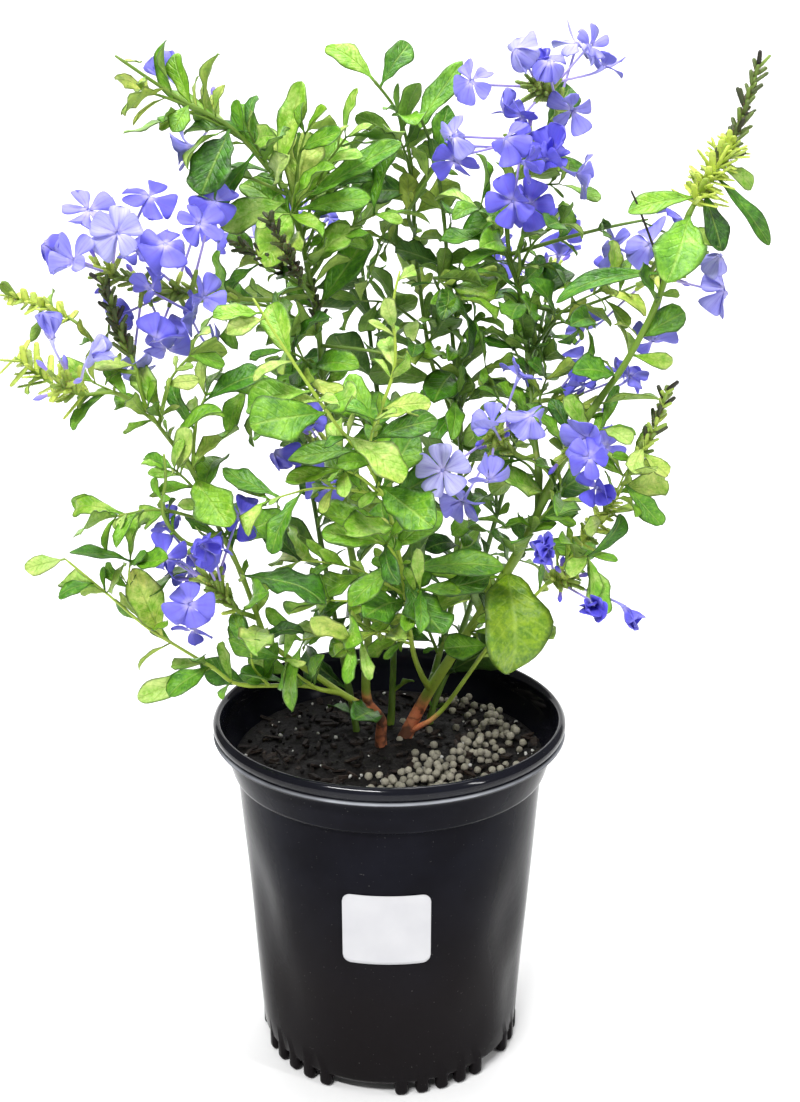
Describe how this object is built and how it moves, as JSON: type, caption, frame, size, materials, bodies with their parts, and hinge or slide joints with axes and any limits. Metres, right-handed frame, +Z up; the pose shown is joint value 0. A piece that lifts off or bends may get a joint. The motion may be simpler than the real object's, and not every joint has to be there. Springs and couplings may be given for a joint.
{
  "type": "potted cape plumbago",
  "caption": "Flowering shrub with leafy stems and pale blue five-petalled flower heads, standing in a black plastic nursery pot with feet and a blank label.",
  "frame": {"origin": "middle of the pot's base, on the surface that the pot stands on", "axes": "+Z up; the pot's front, with the label, faces -Y"},
  "size_m": [0.3205, 0.2046, 0.4727],
  "materials": {
    "pot_plastic": "gloss black moulded plastic",
    "label_paper": "plain white satin label",
    "potting_mix": "dark peat mix with pale prills",
    "foliage": "green leaves and stems, woody and orange-brown at the base",
    "petals": "thin satin petals, pale lilac to violet-blue"
  },
  "bodies": {
    "root": {"pot": "pot_plastic", "label": "label_paper", "soil": "potting_mix", "stem_tall_right": "foliage", "stem_low_right": "foliage", "stem_left": "foliage", "stem_left_arch": "foliage", "stem_left_low": "foliage", "stem_front": "foliage", "stem_centre": "foliage", "stem_centre_top": "foliage", "stem_right_upper": "foliage", "stem_back": "foliage", "stem_back_left": "foliage", "stem_back_right": "foliage", "bloom_top": "petals", "bloom_top_front": "petals", "bloom_left": "petals", "bloom_far_left": "petals", "bloom_low_left": "petals", "bloom_centre_left": "petals", "bloom_centre": "petals", "bloom_right": "petals", "bloom_right_front": "petals", "bloom_right_back": "petals", "bloom_low_right": "petals", "bloom_top_left": "petals", "bloom_back_left": "petals", "bloom_back_right": "petals"}
  },
  "joints": []
}
